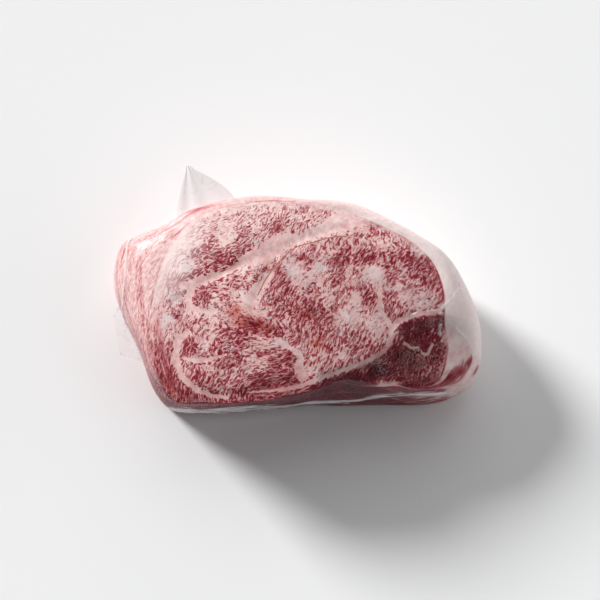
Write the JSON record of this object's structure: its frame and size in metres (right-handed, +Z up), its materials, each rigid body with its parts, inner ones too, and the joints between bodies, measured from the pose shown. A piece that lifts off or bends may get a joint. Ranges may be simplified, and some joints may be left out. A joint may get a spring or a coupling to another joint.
{
  "type": "beef rib roast in a clear shrink bag",
  "caption": "Boneless marbled beef rib roast, sealed in a clear shrink bag with two welded corners standing off one end, lying on its lower cut face.",
  "frame": {"origin": "on the table, under the middle of the box of the whole sealed roast", "axes": "+X along the roast's length towards its fat-covered end, -Y its front, +Z up from the table"},
  "size_m": [0.2962, 0.201, 0.096],
  "materials": {
    "marbled_beef": "moist marbled raw beef seen through film",
    "shrink_film": "clear glossy shrink film"
  },
  "bodies": {
    "root": {"sealed_rib_roast": "marbled_beef"}
  },
  "joints": []
}
